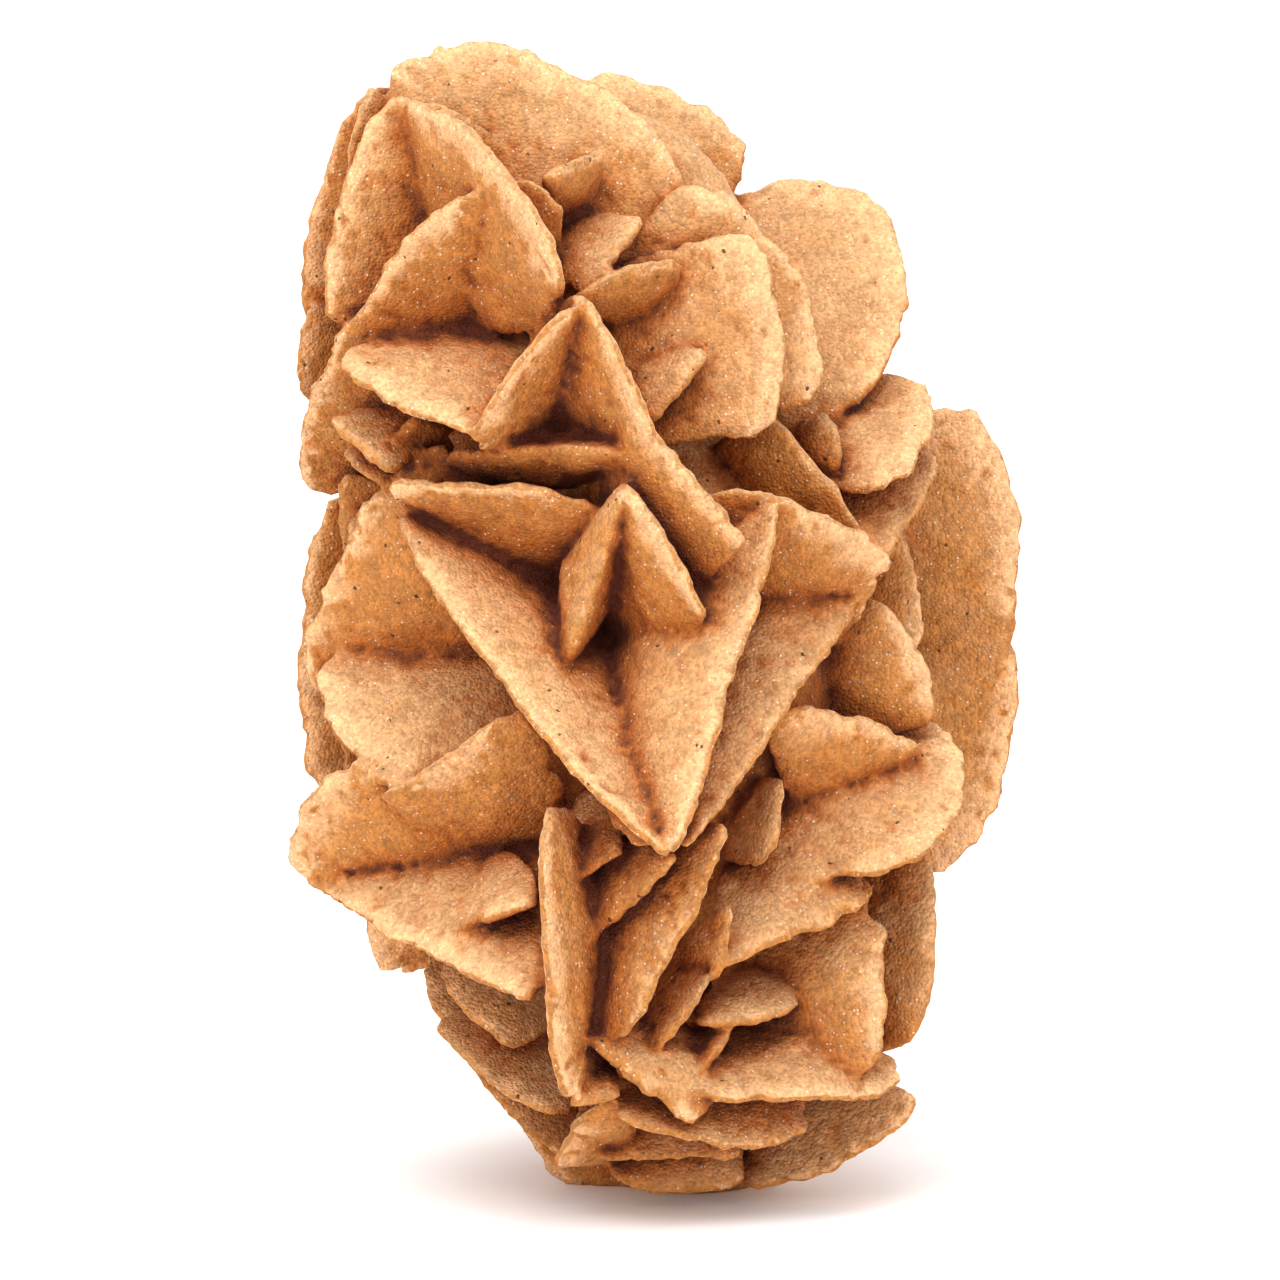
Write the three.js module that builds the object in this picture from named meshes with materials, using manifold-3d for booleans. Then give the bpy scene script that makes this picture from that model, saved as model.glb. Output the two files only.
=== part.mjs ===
// A gypsum sand rose: lens-shaped gypsum plates full of desert sand, grown through one another
// into one solid cluster that stands on its narrow end. Millimetres, +Z up, and the best face
// looks towards -Y.
import * as THREE from "three";
import { mergeVertices } from "three/addons/utils/BufferGeometryUtils.js";
import Module from "manifold-3d";

const wasm = await Module();
wasm.setup();

// Driving dimensions.
const leanDeg = 8; // the whole cluster leans back from the viewer by this much
const rimHalf = 0.34; // half the thickness of a plate at its worn rim
const usualThick = 2.3; // thickness of a plate in its middle
const usualSquare = 2.2; // outline exponent: 2 is an ellipse, less is pointed, more is blunt
const largePlate = 14; // a plate longer than this gets the finer outline
const fineSides = 7;
const plainSides = 5;
const hubShift = 0.15; // the thickest place is this share of the way from the middle to the root
const centreX = 0.17; // middle of the finished cluster, moved onto the Z axis
const centreY = 2;

// The heart that the plates grow from: [across, deep, up] centres and radii.
const hearts = [
  { centre: [-3, -1, 53], radii: [11, 6.5, 13] },
  { centre: [0, -2, 30], radii: [12, 11, 19] },
  { centre: [2, 2.5, 5.5], radii: [9, 11, 9.5] },
];

// Each plate: name, the two ends of its free rim, and the point where it is rooted, all as
// [across, deep, up] before the cluster leans back. bow is how far the rim stands out from the
// straight line between its ends, and lean shifts that crest towards the second end.
const frontPlates = [
  // Top, the large crown and what fans out in front of it.
  ["crown", [-16, -5, 65.2], [2.4, -6.6, 59.4], [-6, -9, 50], { bow: 5.3, lean: -2.6, thick: 2.8, square: 2 }],
  ["crownShoulder", [1.6, -6.9, 60], [8.2, -8, 47], [-1, -9, 50],
    { bow: 4, lean: 1.2, thick: 2.4, square: 2 }],
  ["paleFace", [4.6, -9.5, 57], [5, -12.3, 44.6], [-4, -10, 50], { bow: 2.7, square: 3 }],
  ["paleFlap", [3.1, -13, 50], [-0.3, -14, 45.8], [-3, -9, 50], { bow: 0.7, thick: 1.6, square: 1.9 }],
  ["innerLensLow", [-4.7, -16, 52.9], [1.2, -12, 55.7], [-0.5, -7, 51.8], { bow: 0.4, square: 1.7 }],
  ["innerLensMid", [-0.9, -11, 58.1], [-4.5, -15, 53.4], [-6, -8, 57], { bow: 0.5, thick: 1.6, square: 1.7 }],
  ["innerLensTop", [-6.9, -14.5, 60.2], [-2.8, -10, 62], [-5, -6, 57], { bow: 0.3, thick: 1.8, square: 1.7 }],
  ["fanRight", [-14.6, -9, 64.4], [-5.3, -19, 53], [-14, -4, 54], { bow: 3.7, thick: 2.4 }],
  ["fanLeft", [-14.6, -9, 65], [-19.1, -9, 51.5], [-8, -6, 57], { bow: 2.3, lean: -1 }],
  ["cheekUnder", [-7.9, -15.5, 60.1], [-20.1, -1.5, 41.8], [-8, -7, 50], { bow: 4.5, square: 2 }],
  ["cheekShelf", [-18.4, -11, 49.8], [-9.5, -17.3, 45.2], [-8, -8, 51.6], { bow: 1.9, square: 2 }],
  ["cheekRidge", [-11, -17.5, 44.8], [-4.7, -19.5, 52.4], [-4.5, -9, 46], { bow: 0.8, square: 2 }],
  ["sashTop", [-4.9, -18.5, 53.4], [0.1, -19, 44.6], [-7, -10, 46], { bow: 0.9 }],
  ["sashFoot", [-1.2, -18.5, 46.5], [5, -20, 38.5], [-2.5, -12, 37], { bow: 0.3 }],
  // Behind the crown on both sides.
  ["leftShoulder", [-15.8, -3, 66.1], [-20.6, 0, 52], [-12, 2, 57], { bow: 2.4, lean: -1 }],
  ["leftLobe", [-20.4, -1, 53.2], [-20.4, 0, 47.2], [-16, 3, 50], { bow: 1.3, thick: 1.8 }],
  ["backCrown", [-5.5, 5, 66.2], [5, 6, 60.4], [-2, 3, 58], { bow: 3.4, lean: 0.6, thick: 2.4, square: 2.5 }],
  ["rightDisc", [5, 7, 59.8], [9, -4, 45], [3, 2, 52], { bow: 8.6, lean: -2.2, thick: 2.6 }],
  ["rightShelf", [10.6, -7.2, 41.8], [12.9, 2, 49.2], [6, -1, 46], { bow: 5, lean: 0.2, square: 2.9 }],
  // The nested V of the middle.
  ["longRamp", [17, -1.3, 44], [1.5, -22.3, 20.8], [4, -6, 38], { bow: 0.9, thick: 2.6, square: 2.6 }],
  ["rampRoof", [2.3, -15.2, 41.2], [13.2, -9.4, 37], [7, -7, 33], { bow: 2.7, lean: 1, square: 2.3 }],
  ["rampBack", [6, -9, 46.5], [12.2, -9, 39], [3, -4, 40], { bow: 0.9, thick: 2 }],
  ["veeRight", [7, -15.5, 41.3], [1, -24, 20.7], [-3, -13, 31], { bow: 0.9, thick: 2.4, square: 2.3 }],
  ["veeInner", [-1.8, -19, 42.3], [3, -19.5, 34.4], [-2, -11, 31], { bow: 0.8 }],
  ["veeLeft", [-15, -12, 40.1], [0.8, -23.2, 20.8], [-5, -7.4, 37], { bow: 2.4, lean: 1, thick: 2.6 }],
  ["veeKeel", [-1.7, -18.5, 42.3], [-5.3, -17, 31.3], [-4.5, -8, 37], { bow: 0.6, thick: 3.6, square: 1.9 }],
  ["browUnder", [-15.2, -12, 41.5], [-2.9, -16, 40.4], [-7, -7, 35.5], { bow: 2.2, lean: -2, square: 2.1 }],
  ["browLens", [-12.6, -12, 44], [-1, -17, 43.8], [-6, -8, 41], { bow: 1, thick: 2.4 }],
  // Left side, from the notch down to the wing.
  ["leftFace", [-12, -11.2, 43.9], [-20.3, -2.9, 30], [-10, -8, 34], { bow: 3.1, lean: -1, thick: 2.4 }],
  ["leftShelf", [-18.9, -4.6, 32.5], [-14.2, -12.2, 24.5], [-8, -7.6, 31.4], { bow: 3, square: 2.2 }],
  ["leftBack", [-18.5, 2, 41.8], [-19.5, 3, 23.8], [-13, 5, 32], { bow: 2.4, thick: 2.4, square: 3 }],
  ["wingRoof", [-16, -12, 23.8], [-7.5, -17, 28.5], [-7, -8, 20], { bow: 0.6 }],
  ["wingTop", [-16.3, -11, 25.3], [-21, -5, 18.8], [-8, -8, 19], { bow: 2.6, thick: 2.4 }],
  ["wingShelf", [-20.3, -5, 18.6], [-7.2, -19, 11.8], [-8, -8, 22], { bow: 0.7, lean: -2, square: 2.5 }],
  ["wingFlap", [-11.9, -13, 15.9], [-6.8, -18, 17.4], [-9, -10, 20.5], { bow: 0.3, thick: 1.6, square: 1.8 }],
  ["hipTop", [-12.5, -7, 14], [-8, -9, 8.8], [-6, -4, 13], { bow: 1.7, thick: 2 }],
  ["hipMid", [-12.7, -5, 10], [-4.5, -9, 5.5], [-7, -2, 10], { bow: 2.6, lean: 1.5, thick: 2 }],
  ["hipBack", [-13.2, 2, 14.5], [-4.5, -3, 2.1], [-5, 3, 10], { bow: 3.2, thick: 2.4 }],
  // Right side.
  ["rightRoof", [11.8, -5.5, 35.4], [15.6, -4.5, 27.6], [7, -4, 29], { bow: 2.2, square: 2.6 }],
  ["rightEave", [6.5, -13, 28], [15.9, -5, 26.2], [11, -5, 21.5], { bow: 1.9, lean: -1, square: 2 }],
  ["rightApron", [11, -11.2, 19.2], [15, -2.2, 28.3], [5, -7.6, 22], { bow: 5.2, thick: 2.6, square: 2.6 }],
  ["farDiscTop", [17, 8, 47.5], [18, 9, 29], [10, 10, 38], { bow: 4.7, thick: 2.6 }],
  ["farDiscLow", [19, 9, 36], [15.7, 9, 18.6], [9, 10, 27], { bow: 4.4, thick: 2.6 }],
  // Below the V.
  ["tall", [-6.3, -20, 23.4], [-5, -18, 6.2], [-2.5, -12, 15], { bow: 2, thick: 2.4, square: 2 }],
  ["chinTongue", [1, -21.5, 20.6], [-3.6, -17, 15.2], [-4, -13, 20.5], { bow: 0.4, thick: 1.8, square: 2 }],
  ["petal", [3.8, -20, 22.4], [-2.5, -17, 9.6], [-4, -12, 17], { bow: 1.7, thick: 2.6, square: 2.4 }],
  ["lowApron", [3.2, -16, 13.8], [12.3, -9.6, 18], [7, -7.2, 22], { bow: 0.8, lean: 1.5, thick: 2.4 }],
  ["lipLens", [2.2, -15, 10.3], [8.6, -11, 11.5], [5, -7, 13.4], { bow: 0.9, thick: 2, square: 1.8 }],
  ["stepOne", [3.2, -16.5, 13.4], [-0.9, -15, 7.3], [-1, -11, 12], { bow: 0.5, thick: 1.6, square: 2 }],
  ["lowDisc", [10.5, -7, 19.6], [10.8, -10, 6.3], [3, -6, 12.5], { bow: 3.3, thick: 2.4, square: 2.5 }],
  ["lowDiscBack", [14, -3, 21], [13.6, -5, 8.4], [9, -1, 14], { bow: 3.5, thick: 2.4, square: 2.4 }],
  ["keelLens", [1.8, -15, 6.9], [13.7, -6, 8.2], [7, -5, 11], { bow: 3.6, lean: 2, thick: 2.4, square: 2 }],
  ["sillLens", [-2.2, -15, 5.4], [8.9, -8, 4.7], [4, -6, 9], { bow: 2.6, lean: 0.8, square: 2 }],
  ["toeBlade", [-4, -17, 9.5], [2.2, -15, 4.4], [2.5, -12, 10], { bow: 0.5, thick: 2, square: 2.2 }],
  ["floorFan", [-5.2, -9, 2.7], [5, -9, 2.7], [0, -3, 7], { bow: 0.5, thick: 2, square: 2.5 }],
  ["skirtRight", [5, -4, 0.8], [14, -3, 6.5], [6, 2, 8], { bow: 3.6, lean: 2.2, thick: 2.4, square: 2.8 }],
  ["footFront", [-2.8, -6, 1.8], [5.5, -5, 1.6], [1, -2, 6], { bow: 2.2, thick: 2.4, square: 2.8 }],
];

// Top of the cluster, behind the crown.
const topPlates = [
  ["topCross", [-10, -4, 65], [-6, 11, 59.5], [-7, 2, 52], { bow: 2.6, thick: 2.4 }],
  ["topBack", [-15.5, 8.5, 59], [-1, 9.5, 59.5], [-7, 3, 50], { bow: 4.4, lean: -1, thick: 2.4 }],
  ["topLeft", [-16.5, -1, 63.5], [-13.5, 11, 56.5], [-9, 3, 53], { bow: 2.4 }],
  ["topRight", [-2, -3, 62], [4, 11, 55], [-1, 3, 50], { bow: 3, lean: 1 }],
];

// Large plates across the two sides, which the front view has only edge-on.
const sidePlates = [
  ["rightUpper", [15, -4, 47], [14.5, 5, 30], [4, 0, 40], { bow: 3, thick: 2.4 }],
  ["rightCross", [16, -6, 31], [17.5, 8, 25.5], [6, 1, 31], { bow: 1.6, thick: 2.4 }],
  ["rightLower", [14.5, -6, 24], [11.5, 4, 8], [4, 0, 18], { bow: 2.4, thick: 2.4 }],
  ["leftUpper", [-19.5, -5, 44], [-17, 6, 31], [-7, 0, 36], { bow: 1.6, thick: 2.4 }],
  ["leftCross", [-18, -8, 36], [-19, 6, 47], [-8, -1, 44], { bow: 1.4, thick: 2.4 }],
  ["leftLower", [-18, -6, 26.5], [-16, 6, 13], [-5, 0, 22], { bow: 1.6, thick: 2.4 }],
];

// The back isn't seen in full anywhere, so its plates follow a rule: rows round the back, each
// plate turned by the golden angle from the last, as if grown at random.
const backRows = [
  { up: 10, middle: 1.5, half: 12, plates: 3 },
  { up: 19.5, middle: -1, half: 17, plates: 4 },
  { up: 29.5, middle: 0, half: 18.5, plates: 4 },
  { up: 39.5, middle: -1.5, half: 17.5, plates: 4 },
  { up: 48.5, middle: -2.5, half: 16.5, plates: 4 },
  { up: 55, middle: -5, half: 10.5, plates: 3 },
];
const backDeep = 17.5; // depth of the back at its fullest
const backMiddle = 28; // height of that fullest place
const backReach = 44; // half the height of the back's oval
const backSpread = 75; // degrees that a row reaches round each side
const backHalfLength = 8; // usual half length of a back plate
const backRoot = 12; // depth of its root under its rim's ends
const goldenTurn = 137.5; // degrees
const footPlates = 5;
const footFrom = -95; // degrees round from the back where the foot's first plate stands
const footSpread = 190;
const footReach = 9.5;
const groundSize = 100; // block that wears the foot flat at height 0

function vector(list) {
  return new THREE.Vector3(list[0], list[1], list[2]);
}

// Points of a plate's outline, from the first end over the free rim and back through the root.
function plateOutline(start, end, root, bow, lean, square, sides) {
  const middle = start.clone().add(end).multiplyScalar(0.5);
  const reach = end.clone().sub(start).multiplyScalar(0.5);
  const along = reach.clone().normalize();
  const inward = root.clone().sub(middle);
  const out = inward.clone().addScaledVector(along, -inward.dot(along)).negate().normalize();
  const points = [];
  for (let i = 0; i < sides; i += 1) {
    const turn = (i / sides) * 2 * Math.PI;
    const c = Math.sign(Math.cos(turn)) * Math.abs(Math.cos(turn)) ** (2 / square);
    const s = Math.abs(Math.sin(turn)) ** (2 / square);
    const point = middle.clone().addScaledVector(reach, c);
    if (Math.sin(turn) >= 0) {
      point.addScaledVector(out, s * bow).addScaledVector(along, s * lean);
    } else {
      point.addScaledVector(inward, s);
    }
    points.push(point);
  }
  return { points, face: along.cross(out).normalize() };
}

// One plate as a closed lens: a hub on each face, and a worn band between them as its rim.
function plateGeometry([, startList, endList, rootList, shape]) {
  const start = vector(startList);
  const end = vector(endList);
  const root = vector(rootList);
  const thick = shape.thick ?? usualThick;
  const sides = start.distanceTo(end) > largePlate ? fineSides : plainSides;
  const { points, face } = plateOutline(
    start, end, root, shape.bow, shape.lean ?? 0, shape.square ?? usualSquare, sides,
  );
  const hub = new THREE.Vector3();
  points.forEach((point) => hub.addScaledVector(point, 1 / sides));
  hub.lerp(root, hubShift);
  const corners = [];
  const add = (point, offset) => corners.push(...point.clone().addScaledVector(face, offset).toArray());
  points.forEach((point) => add(point, rimHalf));
  points.forEach((point) => add(point, -rimHalf));
  add(hub, thick / 2);
  add(hub, -thick / 2);
  const triangles = [];
  for (let i = 0; i < sides; i += 1) {
    const next = (i + 1) % sides;
    triangles.push(i, next, 2 * sides);
    triangles.push(sides + next, sides + i, 2 * sides + 1);
    triangles.push(i, sides + i, sides + next);
    triangles.push(i, sides + next, next);
  }
  const geometry = new THREE.BufferGeometry();
  geometry.setAttribute("position", new THREE.Float32BufferAttribute(corners, 3));
  geometry.setIndex(triangles);
  return geometry;
}

// Plates round the back, in the same form as the list above.
function backPlates() {
  const plates = [];
  backRows.forEach((row, level) => {
    const deep = backDeep * Math.sqrt(1 - ((row.up - backMiddle) / backReach) ** 2);
    for (let i = 0; i < row.plates; i += 1) {
      const share = (i + (level % 2 ? 0.75 : 0.25)) / row.plates;
      const round = THREE.MathUtils.degToRad(backSpread * (2 * share - 1));
      const twist = THREE.MathUtils.degToRad(goldenTurn * plates.length);
      const halfLength = backHalfLength * (1 + 0.2 * Math.sin(3 * twist));
      const out = new THREE.Vector3(Math.sin(round), Math.cos(round), 0);
      const side = new THREE.Vector3(Math.cos(round), -Math.sin(round), 0);
      const site = new THREE.Vector3(
        row.middle + (row.half - 2.2) * Math.sin(round), (deep - 1.2) * Math.cos(round), row.up,
      );
      const chord = side.clone().multiplyScalar(Math.cos(twist));
      chord.z = Math.sin(twist);
      const start = site.clone().addScaledVector(chord, -halfLength);
      const end = site.clone().addScaledVector(chord, halfLength);
      const root = site.clone().addScaledVector(out, -backRoot);
      root.z += 3 * Math.cos(twist);
      const shape = { bow: 3.2 + Math.cos(2 * twist), lean: 2 * Math.sin(2 * twist), thick: 2.4 };
      plates.push([`back${plates.length}`, start.toArray(), end.toArray(), root.toArray(), shape]);
    }
  });
  return plates;
}

// Upright plates that spread from the foot and are worn flat under it.
function underPlates() {
  const plates = [];
  for (let i = 0; i < footPlates; i += 1) {
    const round = THREE.MathUtils.degToRad(footFrom + (footSpread * i) / (footPlates - 1));
    const start = [1 + footReach * Math.sin(round), 2 + footReach * Math.cos(round), 8];
    const end = [1 + 2 * Math.sin(round), 2 + 2 * Math.cos(round), -2];
    plates.push([`under${i}`, start, end, [1, 1, 12], { bow: 2.4, thick: 2.6 }]);
  }
  return plates;
}

function solidFrom(geometry) {
  const bare = geometry.clone();
  bare.deleteAttribute("normal");
  bare.deleteAttribute("uv");
  const merged = mergeVertices(bare, 1e-4);
  const vertProperties = new Float32Array(merged.attributes.position.array);
  const triVerts = new Uint32Array(merged.index.array);
  return new wasm.Manifold(new wasm.Mesh({ numProp: 3, vertProperties, triVerts }));
}

// Leans a geometry back and moves it over the origin.
function stand(geometry) {
  geometry.rotateX(THREE.MathUtils.degToRad(-leanDeg));
  geometry.translate(-centreX, -centreY, 0);
  return geometry;
}

function heartGeometry({ centre, radii }) {
  const geometry = new THREE.IcosahedronGeometry(1, 0);
  geometry.scale(...radii);
  geometry.translate(...centre);
  return geometry;
}

function roseGeometry() {
  const plates = [...frontPlates, ...topPlates, ...sidePlates, ...backPlates(), ...underPlates()];
  const solids = [
    ...hearts.map((heart) => solidFrom(stand(heartGeometry(heart)))),
    ...plates.map((plate) => solidFrom(stand(plateGeometry(plate)))),
  ];
  let rose = solids.reduce((sum, solid) => sum.add(solid));
  const ground = new THREE.BoxGeometry(groundSize, groundSize, groundSize);
  ground.translate(0, 0, -groundSize / 2);
  rose = rose.subtract(solidFrom(ground));
  // Small hollows sealed between plates are filled by keeping only the outer skin.
  const skins = rose.decompose();
  skins.sort((one, other) => other.volume() - one.volume());
  const mesh = skins[0].getMesh();
  const geometry = new THREE.BufferGeometry();
  geometry.setAttribute("position", new THREE.Float32BufferAttribute(mesh.vertProperties, 3));
  geometry.setIndex(Array.from(mesh.triVerts));
  return geometry;
}

const sandGypsum = new THREE.MeshStandardMaterial({
  name: "sand_gypsum",
  color: 0xc8935f,
  roughness: 0.86,
  metalness: 0,
});

const group = new THREE.Group();
const rose = new THREE.Mesh(roseGeometry(), sandGypsum);
rose.name = "sand_rose";
group.add(rose);

export default group;
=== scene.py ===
import math

import bmesh
import bpy
from mathutils import Matrix, Vector, noise
from mathutils.bvhtree import BVHTree


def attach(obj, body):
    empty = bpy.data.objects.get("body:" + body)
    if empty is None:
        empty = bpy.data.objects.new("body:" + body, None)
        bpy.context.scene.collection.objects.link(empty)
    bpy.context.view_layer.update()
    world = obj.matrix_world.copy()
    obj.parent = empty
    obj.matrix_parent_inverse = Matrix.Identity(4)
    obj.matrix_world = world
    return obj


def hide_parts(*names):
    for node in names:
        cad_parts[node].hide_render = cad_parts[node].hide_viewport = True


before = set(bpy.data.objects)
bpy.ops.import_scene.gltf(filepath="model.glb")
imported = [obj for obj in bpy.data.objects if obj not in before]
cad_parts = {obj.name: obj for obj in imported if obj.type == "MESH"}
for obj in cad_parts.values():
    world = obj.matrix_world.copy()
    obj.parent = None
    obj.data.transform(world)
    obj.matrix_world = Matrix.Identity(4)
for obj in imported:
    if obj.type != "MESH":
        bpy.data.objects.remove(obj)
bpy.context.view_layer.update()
print("stage: frame loaded")

mm = 0.001
scene = bpy.context.scene

# Where the rose stands. Plates are listed in millimetres as (across, deep, up) before it leans back.
stance = dict(leanDeg=8, centreX=0.17, centreY=2)

rose = dict(
    usualThick=2.0,      # plate thickness in its middle, mm
    usualSquare=2.2,     # outline exponent: 2 is an ellipse, less is pointed, more is blunt
    rimHalf=0.28,        # half the thickness at the worn rim, mm
    hubShift=0.15,       # the thickest place lies this share of the way from the middle to the root
    nearest=0.8,         # the rings stay apart where the outline is nearer than this to the hub, mm
    sides=96,            # points round a plate
    rings=12,            # rings from one face to the other
    bite=0.52,           # how far the rim wanders in and out, mm
    fullBite=6,          # a rim with half its length under this is bitten less, mm
    bites=((4.2, 0.8, 0), (1.5, 0.55, 9), (0.6, 0.45, 13)),  # size in mm, share of the bite, seed
    notches=(2.1, 0.26, 2.0, 17),  # size in mm, how high the noise must get, how deep, seed
    sway=0.6,            # how far a face wanders from flat, mm
    swaySize=6.5,        # mm between the high and low places of a face
    swaySeed=31,
    dome=1.3,            # how full a face is: 1 is a cone, more is rounder
    voxel=0.23,          # grain of the fused skin, mm
    quickVoxel=0.42,
    triangles=190000,
    lumps=((0.14, 1.7, 3), (0.12, 0.62, 5)),  # height and size of cemented lumps in mm, seed
)

# Rings of a plate from its edge inwards. The first are round the rim, as mm in from the outline and
# share of rimHalf. The rest are on the face, as shares of the way from the hub to the outline.
rimRings = ((0.0, 0.0), (0.11, 0.72), (0.36, 1.0))
faceRings = (0.82, 0.58, 0.3, 0.0)

standing = (
    Matrix.Translation(Vector((-stance["centreX"], -stance["centreY"], 0)) * mm)
    @ Matrix.Rotation(-math.radians(stance["leanDeg"]), 4, "X")
    @ Matrix.Scale(mm, 4)
)

# How shut in each point is drives the painted shade of the clefts, and how thin the plate is there drives the
# painted glow of the rims.
clefts = dict(
    rays=13,             # looks from each point
    reach=9.0,           # mm they go
    closeBy=1.8,         # a wall at this distance counts half of one that touches, mm
    thickest=3.0,        # a plate from this on isn't thin at all, mm
    clear=0.05,          # a ray starts this far off the skin, mm
)

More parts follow.
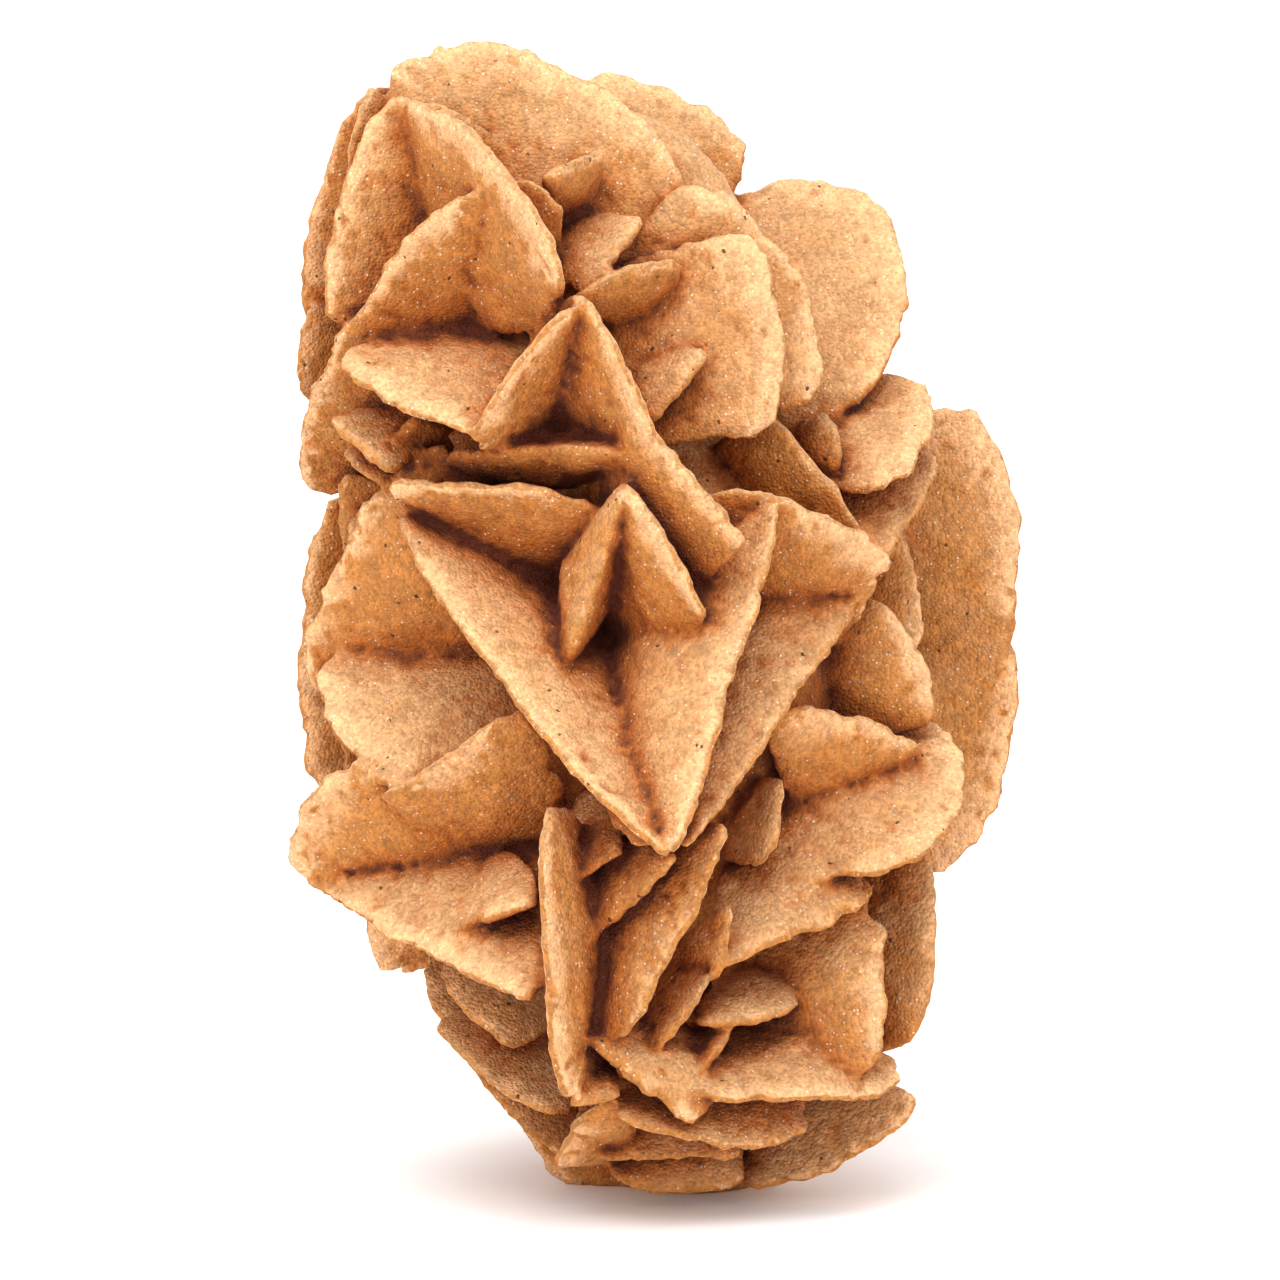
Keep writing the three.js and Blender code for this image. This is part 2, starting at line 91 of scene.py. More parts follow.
# Every plate: name, the two ends of its free rim, its root, and its shape. bow is how far the
# rim stands out from the line between its ends, and lean shifts that crest to the second end.
plates = (
    # Top, the large crown and what fans out in front of it.
    ("crown", (-16, -5, 65.2), (2.4, -6.6, 59.4), (-6, -9, 50),
     dict(bow=5.3, lean=-2.6, thick=2.8, square=2)),
    ("crownShoulder", (1.6, -6.9, 60), (8.2, -8, 47), (-1, -9, 50),
     dict(bow=4, lean=1.2, thick=2.4, square=2)),
    ("paleFace", (4.6, -9.5, 57), (5, -12.3, 44.6), (-4, -10, 50), dict(bow=2.7, square=3)),
    ("paleFlap", (3.1, -13, 50), (-0.3, -14, 45.8), (-3, -9, 50), dict(bow=0.7, thick=1.6, square=1.9)),
    ("innerLensLow", (-4.7, -16, 52.9), (1.2, -12, 55.7), (-0.5, -7, 51.8), dict(bow=0.4, square=1.7)),
    ("innerLensMid", (-0.9, -11, 58.1), (-4.5, -15, 53.4), (-6, -8, 57),
     dict(bow=0.5, thick=1.6, square=1.7)),
    ("innerLensTop", (-6.9, -14.5, 60.2), (-2.8, -10, 62), (-5, -6, 57),
     dict(bow=0.3, thick=1.8, square=1.7)),
    ("fanRight", (-14.6, -9, 64.4), (-5.3, -19, 53), (-14, -4, 54), dict(bow=3.7, thick=2.4)),
    ("fanLeft", (-14.6, -9, 65), (-19.1, -9, 51.5), (-8, -6, 57), dict(bow=2.3, lean=-1)),
    ("cheekUnder", (-7.9, -15.5, 60.1), (-20.1, -1.5, 41.8), (-8, -7, 50), dict(bow=4.5, square=2)),
    ("cheekShelf", (-18.4, -11, 49.8), (-9.5, -17.3, 45.2), (-8, -8, 51.6), dict(bow=1.9, square=2)),
    ("cheekRidge", (-11, -17.5, 44.8), (-4.7, -19.5, 52.4), (-4.5, -9, 46), dict(bow=0.8, square=2)),
    ("sashTop", (-4.9, -18.5, 53.4), (0.1, -19, 44.6), (-7, -10, 46), dict(bow=0.9)),
    ("sashFoot", (-1.2, -18.5, 46.5), (5, -20, 38.5), (-2.5, -12, 37), dict(bow=0.3)),
    # Behind the crown on both sides.
    ("leftShoulder", (-15.8, -3, 66.1), (-20.6, 0, 52), (-12, 2, 57), dict(bow=2.4, lean=-1)),
    ("leftSliver", (-16.8, -6, 66), (-18.2, -7, 57.8), (-15, -3, 61), dict(bow=1.4, thick=1.8, square=2)),
    ("leftLobe", (-20.4, -1, 53.2), (-20.4, 0, 47.2), (-16, 3, 50), dict(bow=1.3, thick=1.8)),
    ("backCrown", (-5.5, 5, 66.2), (5, 6, 60.4), (-2, 3, 58),
     dict(bow=3.4, lean=0.6, thick=2.4, square=2.5)),
    ("rightDisc", (5, 7, 59.8), (9, -4, 45), (3, 2, 52), dict(bow=8.6, lean=-2.2, thick=2.6)),
    ("rightShelf", (10.6, -7.2, 41.8), (12.9, 2, 49.2), (6, -1, 46), dict(bow=5, lean=0.2, square=2.9)),
    ("rightBud", (9.7, -5, 46.4), (11, -7, 43), (7, -2, 44), dict(bow=1.2, thick=1.6, square=2)),
    # The nested V of the middle.
    ("longRamp", (17, -1.3, 44), (1.5, -22.3, 20.8), (4, -6, 38), dict(bow=0.9, thick=2.6, square=2.6)),
    ("rampRoof", (2.3, -15.2, 41.2), (13.2, -9.4, 37), (7, -7, 33), dict(bow=2.7, lean=1, square=2.3)),
    ("rampBack", (6, -9, 46.5), (12.2, -9, 39), (3, -4, 40), dict(bow=0.9, thick=2)),
    ("veeRight", (7, -15.5, 41.3), (1, -24, 20.7), (-3, -13, 31), dict(bow=0.9, thick=2.4, square=2.3)),
    ("veeInner", (-1.8, -19, 42.3), (3, -19.5, 34.4), (-2, -11, 31), dict(bow=0.8)),
    ("veeLeft", (-15, -12, 40.1), (0.8, -23.2, 20.8), (-5, -7.4, 37), dict(bow=2.4, lean=1, thick=2.6)),
    ("veeKeel", (-1.7, -18.5, 42.3), (-5.3, -17, 31.3), (-4.5, -8, 37),
     dict(bow=0.6, thick=3.6, square=1.9)),
    ("browUnder", (-15.2, -12, 41.5), (-2.9, -16, 40.4), (-7, -7, 35.5), dict(bow=2.2, lean=-2, square=2.1)),
    ("browLens", (-12.6, -12.4, 44), (-1, -17.2, 43.8), (-6, -8, 42.4), dict(bow=1, thick=2.8)),
    # Left side, from the notch down to the wing.
    ("notchShelf", (-19.2, -9, 46), (-15.4, -12, 43), (-13, -7, 47), dict(bow=0.7, thick=1.6, square=1.8)),
    ("leftFace", (-12, -11.2, 43.9), (-20.3, -2.9, 30), (-10, -8, 34), dict(bow=3.1, lean=-1, thick=2.4)),
    ("leftShelf", (-18.9, -4.6, 32.5), (-14.2, -12.2, 24.5), (-8, -7.6, 31.4), dict(bow=3, square=2.2)),
    ("leftSplinter", (-20.3, -3.5, 32), (-17.8, -6, 26), (-15, -3, 30), dict(bow=0.6, thick=1.6)),
    ("leftBack", (-18.5, 2, 41.8), (-19.5, 3, 23.8), (-13, 5, 32), dict(bow=2.4, thick=2.4, square=3)),
    ("wingRoof", (-16, -12, 23.8), (-7.5, -17, 28.5), (-7, -8, 20), dict(bow=0.6)),
    ("wingTop", (-16.3, -11, 25.3), (-21, -5, 18.8), (-8, -8, 19), dict(bow=2.6, thick=2.4)),
    ("wingShelf", (-20.3, -5, 18.6), (-7.2, -19, 11.8), (-8, -8, 22), dict(bow=0.7, lean=-2, square=2.5)),
    ("wingFlap", (-11.9, -13, 15.9), (-6.8, -18, 17.4), (-9, -10, 20.5),
     dict(bow=0.3, thick=1.6, square=1.8)),
    ("hipTop", (-12.5, -7, 14), (-8, -9, 8.8), (-6, -4, 13), dict(bow=1.7, thick=2)),
    ("hipMid", (-12.7, -5, 10), (-4.5, -9, 5.5), (-7, -2, 10), dict(bow=2.6, lean=1.5, thick=2)),
    ("hipBack", (-13.2, 2, 14.5), (-4.5, -3, 2.1), (-5, 3, 10), dict(bow=3.2, thick=2.4)),
    # Right side.
    ("rightRoof", (11.8, -5.5, 35.4), (15.6, -4.5, 27.6), (7, -4, 29), dict(bow=2.2, square=2.6)),
    ("rightEave", (6.5, -13, 28), (15.9, -5, 26.2), (11, -5, 21.5), dict(bow=1.9, lean=-1, square=2)),
    ("rightApron", (11, -11.2, 19.2), (15, -2.2, 28.3), (5, -7.6, 22), dict(bow=5.2, thick=2.6, square=2.6)),
    ("apronBud", (7.5, -12, 25), (6, -14, 19.8), (3.5, -8, 22), dict(bow=1.3, thick=1.6)),
    ("farDiscTop", (17, 8, 47.5), (18, 9, 29), (10, 10, 38), dict(bow=4.7, thick=2.6)),
    ("farDiscLow", (19, 9, 36), (15.7, 9, 18.6), (9, 10, 27), dict(bow=4.4, thick=2.6)),
    ("farBud", (14.3, 1, 39.6), (14.3, 2, 33.5), (10, 3, 36.5), dict(bow=1.3, thick=1.6, square=2)),
    # Below the V.
    ("tall", (-6.3, -20, 23.4), (-5, -18, 6.2), (-2.5, -12, 15), dict(bow=2, thick=2.4, square=2)),
    ("chinShelf", (-6.2, -17, 18.3), (-1.8, -20, 20.6), (-4, -11, 24), dict(bow=0.3, thick=1.8, square=2)),
    ("chinTongue", (1, -21.5, 20.6), (-3.6, -17, 15.2), (-4, -13, 20.5), dict(bow=0.4, thick=1.8, square=2)),
    ("petal", (3.8, -20, 22.4), (-2.5, -17, 9.6), (-4, -12, 17), dict(bow=1.7, thick=2.6, square=2.4)),
    ("lowApron", (3.2, -16, 13.8), (12.3, -9.6, 18), (7, -7.2, 22), dict(bow=0.8, lean=1.5, thick=2.4)),
    ("lipLens", (2.2, -15, 10.3), (8.6, -11, 11.5), (5, -7, 13.4), dict(bow=0.9, thick=2, square=1.8)),
    ("stepOne", (3.2, -16.5, 13.4), (-0.9, -15, 7.3), (-1, -11, 12), dict(bow=0.5, thick=1.6, square=2)),
    ("stepTwo", (4.4, -14, 10.2), (2.2, -14, 7.4), (1, -10, 10), dict(bow=0.4, thick=1.5, square=2)),
    ("lowDisc", (10.5, -7, 19.6), (10.8, -10, 6.3), (3, -6, 12.5), dict(bow=3.3, thick=2.4, square=2.5)),
    ("lowDiscBack", (14, -3, 21), (13.6, -5, 8.4), (9, -1, 14), dict(bow=3.5, thick=2.4, square=2.4)),
    ("keelLens", (1.8, -15, 6.9), (13.7, -6, 8.2), (7, -5, 11), dict(bow=3.6, lean=2, thick=2.4, square=2)),
    ("sillLens", (-2.2, -15, 5.4), (8.9, -8, 4.7), (4, -6, 9), dict(bow=2.6, lean=0.8, square=2)),
    ("toeBlade", (-4, -17, 9.5), (2.2, -15, 4.4), (2.5, -12, 10), dict(bow=0.5, thick=2, square=2.2)),
    ("heelOne", (-2, -14, 6.4), (-5, -12, 3.9), (-1.5, -8, 3), dict(bow=0.5, thick=1.6, square=2)),
    ("heelTwo", (-4, -12, 5), (-6.2, -10, 2.2), (-2, -5, 3), dict(bow=0.4, thick=1.6, square=2)),
    ("floorFan", (-5.2, -9, 2.7), (5, -9, 2.7), (0, -3, 7), dict(bow=0.5, thick=2, square=2.5)),
    ("skirtRight", (5, -4, 0.8), (14, -3, 6.5), (6, 2, 8), dict(bow=3.6, lean=2.2, thick=2.4, square=2.8)),
    ("footFront", (-2.8, -6, 1.8), (5.5, -5, 1.6), (1, -2, 6), dict(bow=2.2, thick=2.4, square=2.8)),
    # Top, behind the crown.
    ("topCross", (-10, -4, 65), (-6, 11, 59.5), (-7, 2, 52), dict(bow=2.6, thick=2.4)),
    ("topBack", (-15.5, 8.5, 59), (-1, 9.5, 59.5), (-7, 3, 50), dict(bow=4.4, lean=-1, thick=2.4)),
    ("topLeft", (-16.5, -1, 63.5), (-13.5, 11, 56.5), (-9, 3, 53), dict(bow=2.4)),
    ("topRight", (-4, -2, 62), (0, 11, 56.5), (-2, 3, 50), dict(bow=2, lean=1)),
    # Large plates across the two sides.
    ("rightUpper", (13.5, -3, 46), (13.5, 6, 30), (4, 0, 40), dict(bow=1.2, thick=2.4)),
    ("rightCross", (13.8, -5, 31.5), (15.5, 8, 26), (5, 1, 31), dict(bow=1, thick=2.4)),
    ("rightLower", (14, -5, 23.5), (11.5, 4, 8), (4, 0, 18), dict(bow=1.4, thick=2.4)),
    ("leftUpper", (-18.5, -4, 43), (-16.5, 6, 31), (-7, 0, 36), dict(bow=1.2, thick=2.4)),
    ("leftCross", (-17, -7, 37), (-18, 6, 46), (-8, -1, 44), dict(bow=1.2, thick=2.4)),
    ("leftLower", (-18, -6, 26.5), (-16, 6, 13), (-5, 0, 22), dict(bow=1.6, thick=2.4)),
    # Chips and the tips of plates that are mostly buried.
    ("browGlint", (-7.8, -13, 44.8), (-2.5, -14, 44.9), (-5, -9, 43), dict(bow=0.8, thick=1.4)),
    ("notchUnder", (-18.4, -7, 44.3), (-15.8, -9.5, 42.4), (-15, -5, 45), dict(bow=0.8, thick=1.4)),
    ("notchFin", (-15.9, -10, 43.6), (-14.2, -11.5, 46.4), (-12, -8, 44), dict(bow=0.4, thick=1.4)),
    ("petalBack", (4.1, -17, 17.5), (3.4, -16, 13.2), (1, -12, 14), dict(bow=0.3, thick=1.4)),
    ("toeLip", (-5, -17, 6.1), (-2, -16, 6.6), (-3.5, -12, 9), dict(bow=0.2, thick=1.4)),
)

# The rows of plates round the back, which the photo doesn't show: height, middle and half width of
# the row, and how many.
backRows = (
    (10, 1.5, 12, 3),
    (19.5, -1, 17, 4),
    (29.5, 0, 18.5, 4),
    (39.5, -1.5, 17.5, 4),
    (48.5, -2.5, 16.5, 4),
    (55, -5, 10.5, 3),
)
back = dict(
    deep=17.5,           # depth of the back at its fullest
    middle=28,           # height of that fullest place
    reach=44,            # half the height of the back's oval
    spreadDeg=75,        # a row reaches this far round each side
    halfLength=8,
    varied=0.2,          # share by which a plate may be longer or shorter
    inset=(2.2, 1.2),    # the rims' middles lie this far inside the rows, across and deep
    root=12,
    rootLift=3,
    bow=3.2,
    lean=2,
    thick=2.4,
    turnDeg=137.5,       # the golden angle, as if grown at random
)
foot = dict(
    plates=5,
    fromDeg=-95,
    spreadDeg=190,
    middle=(1, 2),
    reach=9.5,           # from the middle to the upper end of a plate
    toe=2,               # and to its lower end
    high=8,
    low=-2,              # under the floor, cut off later
    root=(1, 1, 12),
    bow=2.4,
    thick=2.6,
)

# The heart that the plates grow from: centres and radii in mm.
hearts = (
    ((-3, -1, 53), (9.5, 5.8, 12)),
    ((0, -2, 30), (11, 10, 18)),
    ((2, 3.5, 6), (6.8, 8.4, 7.6)),
)


def backPlates():
    # each turned by the golden angle from the last
    rows = []
    for level, (up, middle, half, count) in enumerate(backRows):
        deep = back["deep"] * math.sqrt(1 - ((up - back["middle"]) / back["reach"]) ** 2)
        for i in range(count):
            share = (i + (0.75 if level % 2 else 0.25)) / count
            turn = math.radians(back["spreadDeg"] * (2 * share - 1))
            twist = math.radians(back["turnDeg"] * len(rows))
            halfLength = back["halfLength"] * (1 + back["varied"] * math.sin(3 * twist))
            out = Vector((math.sin(turn), math.cos(turn), 0))
            side = Vector((math.cos(turn), -math.sin(turn), 0))
            insetAcross, insetDeep = back["inset"]
            across = middle + (half - insetAcross) * math.sin(turn)
            site = Vector((across, (deep - insetDeep) * math.cos(turn), up))
            chord = side * math.cos(twist) + Vector((0, 0, math.sin(twist)))
            root = site - out * back["root"] + Vector((0, 0, back["rootLift"] * math.cos(twist)))
            shape = dict(
                bow=back["bow"] + math.cos(2 * twist),
                lean=back["lean"] * math.sin(2 * twist),
                thick=back["thick"],
            )
            start, end = site - chord * halfLength, site + chord * halfLength
            rows.append((f"back{len(rows)}", start, end, root, shape))
    return rows


def footPlates():
    # upright plates that spread from the foot, for the floor to cut flat
    rows = []
    across, deep = foot["middle"]
    for i in range(foot["plates"]):
        turn = math.radians(foot["fromDeg"] + foot["spreadDeg"] * i / (foot["plates"] - 1))
        ends = []
        for reach, up in ((foot["reach"], foot["high"]), (foot["toe"], foot["low"])):
            ends.append((across + reach * math.sin(turn), deep + reach * math.cos(turn), up))
        shape = dict(bow=foot["bow"], thick=foot["thick"])
        rows.append((f"under{i}", *ends, foot["root"], shape))
    return rows


def signedPower(value, power):
    return math.copysign(abs(value) ** power, value)


def wander(point, size, seed):
    # smooth random number from -1 to 1 that changes over size millimetres
    return noise.noise(Vector(point) / size + Vector((seed * 7.3, seed * 3.1, seed * 5.7)))


def addTo(cluster, piece):
    # stands one plate up in metres and adds it to the rest
    bmesh.ops.transform(piece, matrix=standing, verts=piece.verts)
    bmesh.ops.recalc_face_normals(piece, faces=piece.faces)
    mesh = bpy.data.meshes.new("plate")
    piece.to_mesh(mesh)
    piece.free()
    cluster.from_mesh(mesh)
    bpy.data.meshes.remove(mesh)


def shapePlate(cluster, row, seed):
    _, start, end, root, shape = row
    start, end, root = Vector(start), Vector(end), Vector(root)
    thick = shape.get("thick", rose["usualThick"])
    power = 2 / shape.get("square", rose["usualSquare"])
    middle = (start + end) / 2
    reach = (end - start) / 2
    along = reach.normalized()
    inward = root - middle
    out = -(inward - along * inward.dot(along)).normalized()
    face = along.cross(out).normalized()

    def outline(turn):
        c = signedPower(math.cos(turn), power)
        s = abs(math.sin(turn)) ** power
        point = middle + reach * c
        if math.sin(turn) >= 0:
            return point + out * (s * shape["bow"]) + along * (s * shape.get("lean", 0))
        return point + inward * s

    sides = rose["sides"]
    rim = [outline(2 * math.pi * i / sides) for i in range(sides)]
    hub = sum(rim, Vector()) / sides
    hub = hub.lerp(root, rose["hubShift"])
    size = reach.length
    bite = rose["bite"] * min(1.0, size / rose["fullBite"])
    notchSize, notchFrom, notchDepth, notchSeed = rose["notches"]
    for i, point in enumerate(rim):  # the worn, bitten edge
        inside = (hub - point).normalized()
        worn = sum(wander(point, wide, seed + extra) * share for wide, share, extra in rose["bites"])
        notch = max(0.0, wander(point, notchSize, seed + notchSeed) - notchFrom) * notchDepth
        rim[i] = point + inside * bite * (worn + notch)

    plate = bmesh.new()
    bmesh.ops.create_uvsphere(plate, u_segments=sides, v_segments=rose["rings"], radius=1)
    half = rose["rings"] // 2
    for vert in plate.verts:
        x, y, z = vert.co
        ring = round(math.asin(max(-1, min(1, z))) / (math.pi / 2) * half)
        level = abs(ring)
        turn = math.atan2(y, x) % (2 * math.pi)
        edge = rim[round(turn / (2 * math.pi) * sides) % sides]
        away = (edge - hub).length
        if level < len(rimRings):
            inset, share = rimRings[level]
            q = 1 - inset / max(away, rose["nearest"])
            high = rose["rimHalf"] * share
        else:
            q = faceRings[level - len(rimRings)]
            high = rose["rimHalf"] + (thick / 2 - rose["rimHalf"]) * (1 - q ** rose["dome"])
        spot = hub.lerp(edge, q)
        sway = wander(spot, rose["swaySize"], seed + rose["swaySeed"]) * rose["sway"]
        vert.co = spot + face * (math.copysign(high, ring) * (level > 0) + sway)
    addTo(cluster, plate)


def shapeHeart(cluster, centre, radii):
    heart = bmesh.new()
    bmesh.ops.create_icosphere(heart, subdivisions=3, radius=1)
    for vert in heart.verts:
        vert.co = Vector(centre) + Vector([c * r for c, r in zip(vert.co, radii)])
    addTo(cluster, heart)


def applyModifiers(obj):
    evaluated = obj.evaluated_get(bpy.context.evaluated_depsgraph_get())
    mesh = bpy.data.meshes.new_from_object(evaluated)
    mesh.name = obj.name
    obj.modifiers.clear()
    obj.data = mesh


def makeCluster():
    # all plates and hearts in one mesh, still passing through one another
    cluster = bmesh.new()
    rows = list(plates) + backPlates() + footPlates()
    for seed, row in enumerate(rows):
        shapePlate(cluster, row, seed)
    for centre, radii in hearts:
        shapeHeart(cluster, centre, radii)
    mesh = bpy.data.meshes.new("sand_rose_skin")
    cluster.to_mesh(mesh)
    cluster.free()
    obj = bpy.data.objects.new("sand_rose_skin", mesh)
    scene.collection.objects.link(obj)
    print("stage:", len(rows), "plates shaped")
    return obj


def fuseAndWear(obj):
    fuse = obj.modifiers.new("fuse", "REMESH")
    fuse.mode = "VOXEL"
    fuse.voxel_size = rose["voxel"] * mm
    applyModifiers(obj)
    print("stage: fused to", len(obj.data.polygons), "faces")

    work = bmesh.new()
    work.from_mesh(obj.data)
    bmesh.ops.smooth_vert(work, verts=work.verts, factor=0.5,
                          use_axis_x=True, use_axis_y=True, use_axis_z=True)
    work.normal_update()
    for vert in work.verts:  # lumps of cemented grains
        p = vert.co / mm
        lump = sum(high * wander(p, wide, seed) for high, wide, seed in rose["lumps"])
        vert.co += vert.normal * (lump * mm)
    bmesh.ops.bisect_plane(work, geom=work.verts[:] + work.edges[:] + work.faces[:], dist=1e-7,
                           plane_co=(0, 0, 0), plane_no=(0, 0, -1), clear_outer=True)
    rims = [e for e in work.edges if e.is_boundary]
    bmesh.ops.holes_fill(work, edges=rims, sides=0)
    bmesh.ops.triangulate(work, faces=work.faces[:])
    work.to_mesh(obj.data)
    work.free()
    print("stage: worn and cut flat,", len(obj.data.polygons), "triangles")


def thinOut(obj):
    thin = obj.modifiers.new("thin", "DECIMATE")
    thin.ratio = min(1.0, rose["triangles"] / len(obj.data.polygons))
    applyModifiers(obj)
    for polygon in obj.data.polygons:
        polygon.use_smooth = True
    print("stage: thinned to", len(obj.data.polygons), "triangles")


def skyRays(count):
    # unit vectors spread evenly over the half sphere round +Z
    golden = math.pi * (3 - math.sqrt(5))
    rays = []
    for i in range(count):
        z = 1 - (i + 0.5) / count
        r = math.sqrt(1 - z * z)
        rays.append(Vector((r * math.cos(i * golden), r * math.sin(i * golden), z)))
    return rays


def measureClefts(obj):
    # fills the attributes cleft (how shut in a point is) and rim (how thin the plate is there)
    mesh = obj.data
    tree = BVHTree.FromPolygons([v.co for v in mesh.vertices], [p.vertices for p in mesh.polygons])
    rays = skyRays(clefts["rays"])
    cleft = mesh.attributes.new("cleft", "FLOAT", "POINT")
    rim = mesh.attributes.new("rim", "FLOAT", "POINT")
    reach = clefts["reach"] * mm
    closeBy = clefts["closeBy"] * mm
    clear = clefts["clear"] * mm
    thickest = clefts["thickest"] * mm
    shut, thin = [], []
    for vert in mesh.vertices:
        normal = vert.normal
        aim = normal.to_track_quat("Z", "Y")
        origin = vert.co + normal * clear
        total = 0.0
        for ray in rays:
            hit = tree.ray_cast(origin, aim @ ray, reach)
            if hit[0] is not None:
                total += 1 / (1 + hit[3] / closeBy)
        shut.append(total / len(rays))
        hit = tree.ray_cast(vert.co - normal * clear, -normal, thickest)
        thin.append(0.0 if hit[0] is None else 1 - hit[3] / thickest)
    cleft.data.foreach_set("value", shut)
    rim.data.foreach_set("value", thin)
    print("stage: clefts measured, mean", round(sum(shut) / len(shut), 3))


def linear(text):
    # sRGB hex to linear colour
    out = []
    for i in (0, 2, 4):
        c = int(text[i:i + 2], 16) / 255
        out.append(c / 12.92 if c <= 0.04045 else ((c + 0.055) / 1.055) ** 2.4)
    return (*out, 1.0)


def addNode(tree, kind, inputs=(), **settings):
    # inputs maps a socket to a value or to the output that feeds it
    node = tree.nodes.new("ShaderNode" + kind)
    for key, value in settings.items():
        setattr(node, key, value)
    for key, value in dict(inputs).items():
        if isinstance(value, bpy.types.NodeSocket):
            tree.links.new(value, node.inputs[key])
        else:
            node.inputs[key].default_value = value
    return node


sand = dict(
    body="BF7C3B",        # sandy gypsum in the open
    pale="D0A06F",        # faces that look up: painted top light, mixed with random patches of paler sand dust
    glow="EFB682",        # thin worn rims, where light comes through
    warm="A95713",        # towards the clefts, where light has bounced off more sand
    deep="4E1803",        # painted shade deep in the clefts
    speck="2E1C10",       # dark heavy grains
    white="FFF4E6",       # clear gypsum grains: pale in themselves, with a painted glint
    grain=0.2,            # mm across
    sparkShare=0.06,      # of the grains are clear: pale dots that carry a painted glint
    speckShare=0.0014,    # of the grains are dark
    cloud=5,              # mm between paler and darker places
    mottle=1.1,           # mm between the small ones
    lump=0.5,             # mm across the lumps of a few grains
    relief=0.24,          # mm of height that the lumps and grains have
    grainHeight=0.6,      # of a grain, as a share of the lumps'
    grainShade=(0.76, 1.24),   # the darkest and the brightest grain
    mottleShade=(0.88, 1.1),   # the darkest and the brightest small place
    roughness=0.82,
)


def sandGypsum():
    # Desert rose gypsum: clear crystal crowded with fine quartz sand, so it is matt and grainy,
    # looks lit from inside at its thin rims and goes red-brown where light only gets in by bouncing.
    # A MapRange takes the range 1 to 2 to the range 3 to 4, and 6 and 7 are the colours of a Mix.
    material = bpy.data.materials.new("desert_rose_gypsum")
    material.use_nodes = True
    tree = material.node_tree
    tree.nodes.clear()
    place = addNode(tree, "TexCoord").outputs["Object"]
    grains = addNode(tree, "TexVoronoi", {"Vector": place, "Scale": 1 / (sand["grain"] * mm)})
    pick = addNode(tree, "SeparateColor", {0: grains.outputs["Color"]})
    clouds = addNode(tree, "TexNoise", {"Vector": place, "Scale": 1 / (sand["cloud"] * mm), "Detail": 2.0})
    mottle = addNode(tree, "TexNoise", {"Vector": place, "Scale": 1 / (sand["mottle"] * mm), "Detail": 2.0})
    lumps = addNode(tree, "TexNoise", {"Vector": place, "Scale": 1 / (sand["lump"] * mm), "Detail": 2.0})
    cleft = addNode(tree, "Attribute", attribute_name="cleft").outputs["Fac"]
    rim = addNode(tree, "Attribute", attribute_name="rim").outputs["Fac"]
    facing = addNode(tree, "SeparateXYZ", {0: addNode(tree, "NewGeometry").outputs["Normal"]})

    # painted top light: faces that look up turn paler, with random clouds of paler dust mixed in
    topLightAndDust = addNode(tree, "Math", {0: facing.outputs[2], 1: clouds.outputs[0]}, operation="ADD")
    inOpen = addNode(tree, "MapRange", {0: cleft, 1: 0.02, 2: 0.22, 3: 1, 4: 0},
                     interpolation_type="SMOOTHSTEP")
    thin = addNode(tree, "Math", {0: rim, 1: inOpen.outputs[0]}, operation="MULTIPLY")
    # clear grains: pale dots with a painted glint on them
    isClear = addNode(tree, "Math", {0: pick.outputs[0], 1: 1 - sand["sparkShare"]},
                      operation="GREATER_THAN")
    isDark = addNode(tree, "Math", {0: pick.outputs[1], 1: sand["speckShare"]}, operation="LESS_THAN")
    dot = addNode(tree, "MapRange", {0: grains.outputs["Distance"], 1: 0.1, 2: 0.45, 3: 1, 4: 0})
    clearGrainGlint = addNode(tree, "Math", {0: isClear.outputs[0], 1: dot.outputs[0]}, operation="MULTIPLY")
    layers = (  # what brings the colour in, from where to where, how much of it at most, and its name
        (topLightAndDust, 0.35, 1.3, 0.8, "pale"),
        (thin, 0.42, 0.8, 0.95, "glow"),
        (cleft, 0.05, 0.28, 0.9, "warm"),
        (clearGrainGlint, 0.0, 1.0, 0.6, "white"),
        (isDark, 0.0, 1.0, 0.85, "speck"),
        # painted shade: the most shut-in places go deep red-brown
        (cleft, 0.19, 0.44, 0.95, "deep"),
    )
    colour = linear(sand["body"])
    for source, low, high, most, name in layers:
        drive = source if source is cleft else source.outputs[0]
        share = addNode(tree, "MapRange", {0: drive, 1: low, 2: high, 4: most},
                        interpolation_type="SMOOTHSTEP")
        mixed = addNode(tree, "Mix", {0: share.outputs[0], 6: colour, 7: linear(sand[name])},
                        data_type="RGBA")
        colour = mixed.outputs[2]

    dark, bright = sand["grainShade"]
    grainShade = addNode(tree, "MapRange", {0: pick.outputs[2], 3: dark, 4: bright})
    dark, bright = sand["mottleShade"]
    mottleShade = addNode(tree, "MapRange", {0: mottle.outputs[0], 1: 0.3, 2: 0.7, 3: dark, 4: bright})
    shade = addNode(tree, "Math", {0: grainShade.outputs[0], 1: mottleShade.outputs[0]}, operation="MULTIPLY")
    shaded = addNode(tree, "HueSaturation", {"Value": shade.outputs[0], "Color": colour})

    height = addNode(tree, "Math", {
        0: grains.outputs["Distance"],
        1: -sand["grainHeight"],
        2: lumps.outputs[0],
    }, operation="MULTIPLY_ADD")
    bump = addNode(tree, "Bump", {
        "Strength": 0.8,
        "Distance": sand["relief"] * mm,
        "Height": height.outputs[0],
    })
    shader = addNode(tree, "BsdfPrincipled", {
        "Base Color": shaded.outputs[0],
        "Roughness": sand["roughness"],
        "IOR": 1.52,
        "Specular IOR Level": 0.35,
        "Normal": bump.outputs[0],
    })
    addNode(tree, "OutputMaterial", {"Surface": shader.outputs[0]})
    return material


studio = dict(
    floor="FFFFFF",
    floorSize=4.0,        # half side, metres
    world=1.22,
    keyPower=6.0,
    keySize=0.7,
    keyPlace=(-0.12, -0.35, 0.85),
    keyAim=(0, 0, 0.03),
)

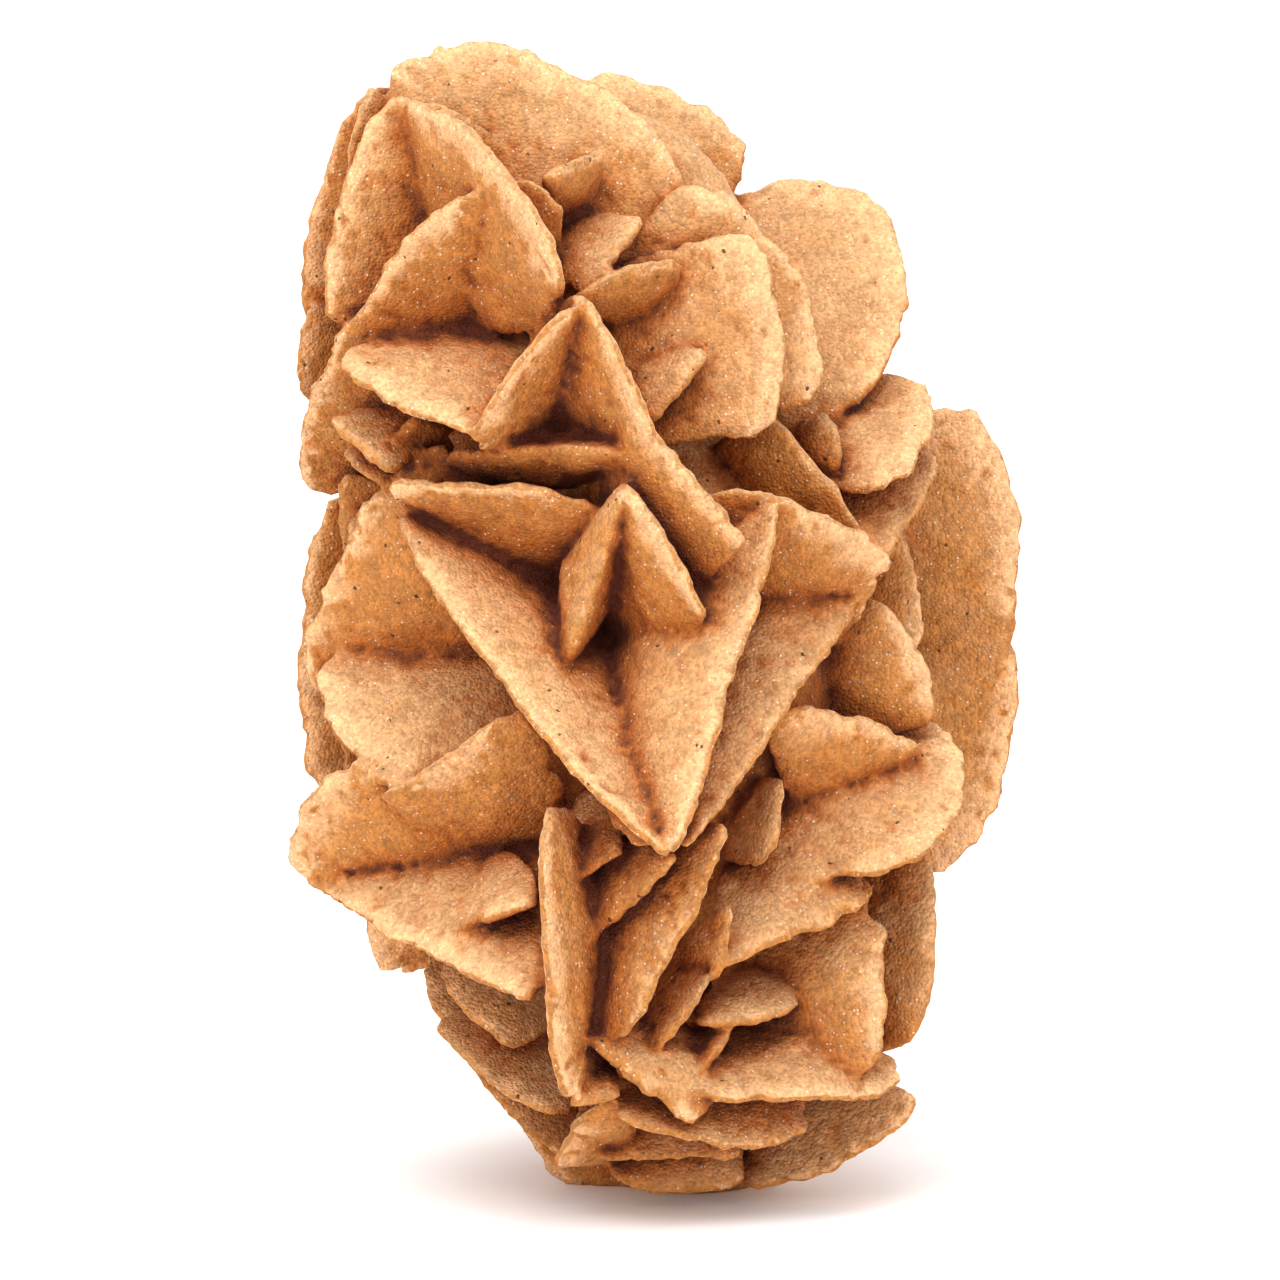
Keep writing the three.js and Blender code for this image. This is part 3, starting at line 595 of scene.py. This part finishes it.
view = dict(
    distance=0.7,
    width=76.8,           # mm seen across the frame at the rose
    sensor=36,
    aim=(-0.9, 0, 33.0),  # mm, as a plate's point
)


def makeFloor():
    paper = bpy.data.materials.new("white_paper")  # seamless white card
    paper.use_nodes = True
    shader = paper.node_tree.nodes["Principled BSDF"]
    shader.inputs["Base Color"].default_value = linear(studio["floor"])
    shader.inputs["Roughness"].default_value = 0.9
    work = bmesh.new()
    bmesh.ops.create_grid(work, x_segments=1, y_segments=1, size=studio["floorSize"])
    mesh = bpy.data.meshes.new("floor")
    work.to_mesh(mesh)
    work.free()
    floor = bpy.data.objects.new("floor", mesh)
    scene.collection.objects.link(floor)
    floor.data.materials.append(paper)


def makeLights():
    world = bpy.data.worlds.new("studio")
    scene.world = world
    world.use_nodes = True
    world.node_tree.nodes["Background"].inputs[0].default_value = (1, 1, 1, 1)
    world.node_tree.nodes["Background"].inputs[1].default_value = studio["world"]
    lamp = bpy.data.lights.new("softbox", "AREA")
    lamp.energy = studio["keyPower"]
    lamp.size = studio["keySize"]
    key = bpy.data.objects.new("softbox", lamp)
    key.location = studio["keyPlace"]
    aim = Vector(studio["keyAim"]) - key.location
    key.rotation_euler = aim.to_track_quat("-Z", "Y").to_euler()
    scene.collection.objects.link(key)


def makeCamera():
    data = bpy.data.cameras.new("camera")
    data.sensor_width = view["sensor"]
    data.lens = view["sensor"] * view["distance"] / (view["width"] * mm)
    camera = bpy.data.objects.new("camera", data)
    lean = math.radians(stance["leanDeg"])
    target = standing @ Vector(view["aim"])
    camera.location = target + Vector((0, -math.cos(lean), math.sin(lean))) * view["distance"]
    camera.rotation_euler = (math.pi / 2 - lean, 0, 0)
    scene.collection.objects.link(camera)
    scene.camera = camera


makeCamera()
makeLights()
makeFloor()
rosePiece = makeCluster()
fuseAndWear(rosePiece)
thinOut(rosePiece)
measureClefts(rosePiece)
rosePiece.data.materials.clear()
rosePiece.data.materials.append(sandGypsum())
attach(rosePiece, "root")
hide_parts("sand_rose")
print("stage: rose dressed")

scene.view_settings.view_transform = "Standard"
